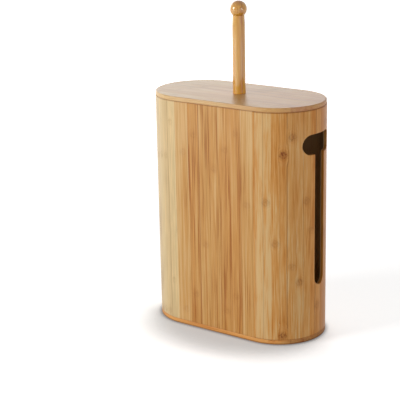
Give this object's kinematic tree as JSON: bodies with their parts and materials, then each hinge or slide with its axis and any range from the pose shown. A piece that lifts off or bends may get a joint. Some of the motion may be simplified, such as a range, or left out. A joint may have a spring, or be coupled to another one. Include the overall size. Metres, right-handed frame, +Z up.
{
  "type": "toilet paper storage box",
  "caption": "Upright bamboo box with rounded ends for toilet rolls, a lift-off lid with a turned roll post, and a hand grip with a level slot cut into an end.",
  "frame": {"origin": "middle of the underside of the base board, on the floor", "axes": "+X along the flat walls towards the end with the cut, -Y the front, +Z up along the roll post"},
  "size_m": [0.262, 0.132, 0.4662],
  "materials": {
    "bamboo_panel": "edge-glued upright bamboo strips, satin lacquer",
    "bent_bamboo": "bent flat-pressed bamboo with node marks, satin lacquer",
    "bamboo_board": "lengthwise bamboo boards with brown end grain, satin lacquer",
    "tongue_bamboo": "raw bamboo",
    "turned_bamboo": "turned and lacquered, glossy on the ball",
    "screw_steel": "zinc plated"
  },
  "bodies": {
    "box": {"base_board": "bamboo_board", "inner_floor_board": "bamboo_board", "base_screws": "screw_steel", "front_panel": "bamboo_panel", "back_panel": "bamboo_panel", "slotted_end_shell": "bent_bamboo", "plain_end_shell": "bent_bamboo", "front_slotted_tongue": "tongue_bamboo", "front_plain_tongue": "tongue_bamboo", "back_slotted_tongue": "tongue_bamboo", "back_plain_tongue": "tongue_bamboo"},
    "lid": {"lid_board": "bamboo_board", "lid_locating_board": "bamboo_board", "lid_screws": "screw_steel", "roll_post": "turned_bamboo", "ball_knob": "turned_bamboo", "post_screw": "screw_steel"}
  },
  "joints": [
    {"name": "lid_lift", "type": "slide", "parent": "box", "child": "lid", "axis": [0, 0, 1], "range_m": [0, 0.16]}
  ]
}
